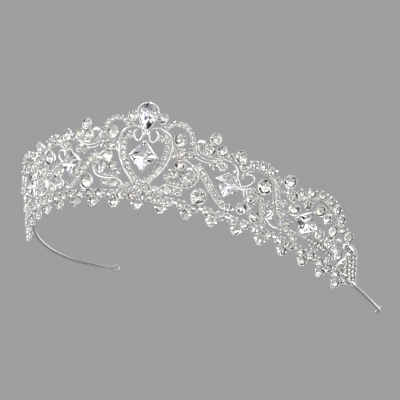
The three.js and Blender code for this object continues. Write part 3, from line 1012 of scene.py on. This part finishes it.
def ramp(tree, source, stops):
    """A colour that follows a value through stops of (place, colour)."""
    node = tree.nodes.new("ShaderNodeValToRGB")
    while len(node.color_ramp.elements) < len(stops):
        node.color_ramp.elements.new(0.5)
    for element, (at, colour) in zip(node.color_ramp.elements, stops):
        element.position = at
        element.color = (*colour, 1)
    tree.links.new(source, node.inputs["Fac"])
    return node.outputs["Color"]


def mottle(tree, shader, scale, tints):
    """A base colour that drifts between tints."""
    cloud = noise(tree, scale)
    tree.links.new(ramp(tree, cloud.outputs["Fac"], tints), shader.inputs["Base Color"])


def roughen(tree, shader, scale, low, high):
    """A roughness that varies from low to high; returns the noise that it follows."""
    grain = noise(tree, scale)
    span = tree.nodes.new("ShaderNodeMapRange")
    span.inputs["To Min"].default_value = low
    span.inputs["To Max"].default_value = high
    tree.links.new(grain.outputs["Fac"], span.inputs["Value"])
    tree.links.new(span.outputs["Result"], shader.inputs["Roughness"])
    return grain


def bump(tree, source, shader, strength, distance):
    node = tree.nodes.new("ShaderNodeBump")
    node.inputs["Strength"].default_value = strength
    node.inputs["Distance"].default_value = distance
    tree.links.new(source, node.inputs["Height"])
    tree.links.new(node.outputs["Normal"], shader.inputs["Normal"])


def metal_material(name, bright, dark, rough_low, rough_high, strength):
    material, tree, shader = new_material(name)
    shader.inputs["Metallic"].default_value = 1
    mottle(tree, shader, 900, [(0.3, dark), (0.7, bright)])
    grain = roughen(tree, shader, 2600, rough_low, rough_high)
    bump(tree, grain.outputs["Fac"], shader, strength, 0.00002)
    return material


def crystal_material(name):
    material, tree, shader = new_material(name)
    shader.inputs["Transmission Weight"].default_value = 1
    shader.inputs["IOR"].default_value = 1.56
    # The base colour drifts between faint blue, white and warm tints. This is painted fire: coloured flashes
    # that stand in for the light the glass splits.
    mottle(tree, shader, 260, [(0.35, (0.93, 0.95, 1)), (0.5, (1, 1, 1)), (0.65, (1, 0.97, 0.95))])
    roughen(tree, shader, 1800, 0, 0.03)
    return material


def foil_material(name, scale, tints, rough):
    material, tree, shader = new_material(name)
    shader.inputs["Metallic"].default_value = 1
    mottle(tree, shader, scale, tints)
    roughen(tree, shader, 1500, 0.5 * rough, 1.5 * rough)
    return material


METALS = [
    metal_material("rhodium_polished", (0.93, 0.92, 0.905), (0.83, 0.82, 0.8), 0.06, 0.14, 0.15),
    metal_material("rhodium_cast", (0.79, 0.78, 0.765), (0.58, 0.575, 0.56), 0.16, 0.34, 0.5),
]
# Tints of the foil of the small stones, from cool blue round white to warm orange. This is painted fire:
# coloured flashes that stand in for the light the stones split.
FOIL_PAINTED_FIRE_TINTS = [
    (0.28, (0.84, 0.87, 1)), (0.4, (0.98, 0.98, 0.97)), (0.62, (1, 0.98, 0.94)), (0.76, (1, 0.88, 0.79)),
]
# Cooler tints of the foil of the large stones, blue through white to faintly warm. This is painted fire:
# coloured flashes that stand in for the light the stones split.
COOL_FOIL_PAINTED_FIRE_TINTS = [
    (0.3, (0.84, 0.86, 1)), (0.44, (0.96, 0.97, 1)), (0.56, (1, 1, 1)), (0.7, (1, 0.97, 0.94)),
]
CLEAR = crystal_material("crystal_clear")
STONES = [CLEAR, foil_material("crystal_foil", 700, FOIL_PAINTED_FIRE_TINTS, 0.06)]
LARGE_STONES = [CLEAR, foil_material("crystal_foil_cool", 420, COOL_FOIL_PAINTED_FIRE_TINTS, 0.07)]
# The headband's metal is a darker copy of the polished rhodium. Its darker base colour is painted shade,
# standing in for the dark surroundings that the arms reflect.
HEADBAND_PAINTED_DARK = [metal_material("headband_metal_painted_dark", (0.6, 0.6, 0.59), (0.44, 0.44, 0.43), 0.18, 0.32, 0.2)]


# ---- assembly ----

CENTRE = {
    "centre_base_chain": centre_base_chain,
    "centre_cluster": centre_cluster,
    "heart_frame": heart_frame,
    "pear_setting": pear_setting,
}

CENTRE_SQUARE = (0, 14.8, 5.45, 0)     # s, h, half its diagonal, and degrees turned

PAIRS = {
    "base_chain": base_chain,
    "crown_arch": crown_arch,
    "inner_scroll": inner_scroll,
    "lower_spray": lower_spray,
    "top_spray": top_spray,
    "side_arch": side_arch,
    "flower_spray": flower_spray,
    "outer_scroll": outer_scroll,
    "side_cluster": side_cluster,
    "outer_arch": outer_arch,
    "outer_spray": outer_spray,
    "end_leaf": end_leaf,
}

# s, h and width
ROUNDS = {
    "flank_round": (5, 29.4, 3.7),
    "arch_round": (11.75, 23.1, 4.5),
    "drop_round": (21.8, 4.8, 5.6),
    "shoulder_round": (31.3, 22.8, 4.4),
    "side_round": (41.7, 15.8, 5.3),
    "peak_round": (48.7, 21, 4.5),
    "outer_arch_round": (62.7, 16.7, 4.1),
    "end_round": (71.2, 12.5, 3.8),
    "tip_round": (78.1, 14, 3.8),
}

# as CENTRE_SQUARE
SQUARES = {
    "inner_square": (30.3, 12.2, 5.05, -6),
    "outer_square": (60.4, 10.1, 4.9, -5),
}


def make_pair(name, work, metal_node, stone_node, stones=STONES):
    """The right-hand work and its mirror image, as metal and stone pieces."""
    parts = [
        ("metal", work.metal, metal_node, "rhodium_plate", METALS),
        ("stones", work.stone, stone_node, "crystal", stones),
    ]
    for part, shell, node, slot, materials in parts:
        if shell.verts:
            piece(f"right_{name}_{part}", shell, f"right_{node}", materials)
            piece(f"left_{name}_{part}", shell.mirrored(), f"left_{node}", materials)


def make_centre(name, work):
    """A centre work as a metal piece and, where it holds stones, a stone piece."""
    piece(f"{name}_metal", work.metal, name, METALS)
    if work.stone.verts:
        piece(f"{name}_stones", work.stone, name, STONES)


def assemble():
    for name, build in CENTRE.items():
        make_centre(name, worked(build))
    square = worked(square_set, *CENTRE_SQUARE)
    piece("centre_square_metal", square.metal, "centre_square_basket", METALS)
    piece("centre_square_stone", square.stone, "centre_square_crystal", LARGE_STONES)
    pear = Shell()
    pear_stone(pear)
    piece("pear_stone", pear, "pear_crystal", LARGE_STONES)
    band = Shell()
    headband(band)
    # The headband takes the darker metal, whose darkness is painted shade.
    piece("headband", band, "headband_wire", HEADBAND_PAINTED_DARK)
    for name, build in PAIRS.items():
        make_pair(name, worked(build), name, name)
    for name, sizes in ROUNDS.items():
        make_pair(name, worked(Work.gem, *sizes), name, name)
    for name, sizes in SQUARES.items():
        make_pair(name, worked(square_set, *sizes), f"{name}_basket", f"{name}_crystal", LARGE_STONES)


# ---- stage, light and camera ----

BACKGROUND = (0.34, 0.345, 0.35)


def stage_card(name, reach, z, material):
    """A square that reaches out from its middle at height z, as part of the stage."""
    mesh = bpy.data.meshes.new(name)
    corners = [(-reach, -reach, z), (reach, -reach, z), (reach, reach, z), (-reach, reach, z)]
    mesh.from_pydata(corners, [], [(0, 1, 2, 3)])
    mesh.materials.append(material)
    card = new_object(name, mesh)
    return card


def floor_material():
    grey = 0.5
    material, _, shader = new_material("floor_pale")
    shader.inputs["Base Color"].default_value = (grey, grey, grey, 1)
    shader.inputs["Roughness"].default_value = 0.8
    return material


def make_floor():
    """A plain floor, below the camera, which looks up at the tiara from under its base."""
    reach, height = 9, -0.33
    stage_card("floor", reach, height, floor_material())


def make_backdrop():
    """A pale card behind the tiara, square to the camera and as large as it needs."""
    material, _, shader = new_material("backdrop_pale")
    shader.inputs["Base Color"].default_value = (0, 0, 0, 1)
    shader.inputs["Emission Color"].default_value = (*BACKGROUND, 1)
    shader.inputs["Emission Strength"].default_value = 1
    shader.inputs["Specular IOR Level"].default_value = 0
    reach, distance = 0.75, 3.2
    card = stage_card("backdrop", reach, 0, material)
    camera = bpy.context.scene.camera
    ahead = camera.matrix_world.to_3x3() @ Vector((0, 0, -1))
    card.location = camera.matrix_world.translation + ahead * distance
    card.rotation_mode = "QUATERNION"
    card.rotation_quaternion = camera.matrix_world.to_quaternion()


def make_world():
    """Pale at the horizon and below it; softbox-like patches of light and dark higher up."""
    world = bpy.data.worlds.new("studio")
    world.use_nodes = True
    tree = world.node_tree
    coordinates = tree.nodes.new("ShaderNodeTexCoord")
    patches = tree.nodes.new("ShaderNodeTexNoise")
    patches.inputs["Scale"].default_value = 3
    patches.inputs["Detail"].default_value = 0
    tree.links.new(coordinates.outputs["Generated"], patches.inputs["Vector"])
    dark = (0.12, 0.12, 0.12)
    bright = (1.35, 1.35, 1.35)
    above = ramp(tree, patches.outputs["Fac"], [(0.45, dark), (0.53, bright)])
    split = tree.nodes.new("ShaderNodeSeparateXYZ")
    tree.links.new(coordinates.outputs["Generated"], split.inputs["Vector"])
    pale_below, patches_above = 0.16, 0.3     # sines of the elevations they blend between
    height = tree.nodes.new("ShaderNodeMapRange")
    height.inputs["From Min"].default_value = pale_below
    height.inputs["From Max"].default_value = patches_above
    tree.links.new(split.outputs["Z"], height.inputs["Value"])
    mix = tree.nodes.new("ShaderNodeMix")
    mix.data_type = "RGBA"
    mix.inputs["A"].default_value = (*BACKGROUND, 1)
    tree.links.new(height.outputs["Result"], mix.inputs["Factor"])
    tree.links.new(above, mix.inputs["B"])
    tree.links.new(mix.outputs["Result"], tree.nodes["Background"].inputs["Color"])
    bpy.context.scene.world = world


def area_light(name, place, target, width, height, power, on_floor=False):
    """A soft rectangular light; it lights only the tiara unless it is marked on_floor."""
    light = bpy.data.lights.new(name, "AREA")
    light.shape = "RECTANGLE"
    light.size = width
    light.size_y = height
    light.energy = power
    obj = new_object(name, light)
    obj.location = place
    obj.rotation_mode = "QUATERNION"
    obj.rotation_quaternion = (Vector(target) - Vector(place)).to_track_quat("-Z", "Y")
    obj.visible_camera = False
    if not on_floor:
        obj.light_linking.receiver_collection = TIARA


def make_lights():
    panel, base = (0, 0, 0.02), (0, 0, 0)
    area_light("front_low", (-0.3, -0.9, -0.3), panel, 1.7, 0.7, 3)
    area_light("right_low", (0.75, -0.75, -0.28), panel, 1, 0.5, 1.9)
    area_light("right_end", (1, 0.5, -0.2), (0.05, 0, 0.02), 0.5, 0.4, 1.4)
    area_light("left_end", (-1.1, 0.1, -0.1), (-0.05, 0, 0.02), 0.5, 0.5, 1.4)
    area_light("left", (-1.1, -0.75, 0.1), base, 0.6, 0.7, 2.4)
    area_light("right", (1.2, -0.55, 0.1), base, 0.5, 0.7, 2)
    area_light("ceiling", (0, 0, 2.2), base, 2.4, 2.4, 3, on_floor=True)
    area_light("overhead", (0.1, -0.75, 1.1), base, 1.1, 0.3, 2.2, on_floor=True)
    area_light("back", (-0.3, 1.1, 0.75), panel, 1.3, 0.6, 3, on_floor=True)
    area_light("front_high", (0.1, -1.2, 0.5), panel, 0.8, 0.3, 1.4)
    area_light("spark_left", (-0.5, -1.3, 0.45), base, 0.12, 0.12, 1.2)
    area_light("spark_right", (0.75, -1.1, 0.5), base, 0.12, 0.12, 1.2)


def make_camera():
    place = Vector((0.26507, -0.57867, -0.22600))
    azimuth, elevation, roll = radians(24.65), radians(-21.89), radians(17.70)
    ahead = Vector((
        -sin(azimuth) * cos(elevation),
        cos(azimuth) * cos(elevation),
        -sin(elevation),
    ))
    right0 = ahead.cross(Vector((0, 0, 1))).normalized()
    up0 = right0.cross(ahead)
    right = right0 * cos(roll) + up0 * sin(roll)
    up = up0 * cos(roll) - right0 * sin(roll)
    data = bpy.data.cameras.new("camera")
    data.lens = 156.8
    data.sensor_width = 36
    data.clip_start = 0.01
    data.clip_end = 30
    camera = new_object("camera", data)
    turn = Matrix((right, up, -ahead)).transposed().to_4x4()
    camera.matrix_world = Matrix.Translation(place) @ turn
    bpy.context.scene.camera = camera


assemble()
make_camera()
make_floor()
make_backdrop()
make_world()
make_lights()
bpy.context.scene.view_settings.view_transform = "Standard"
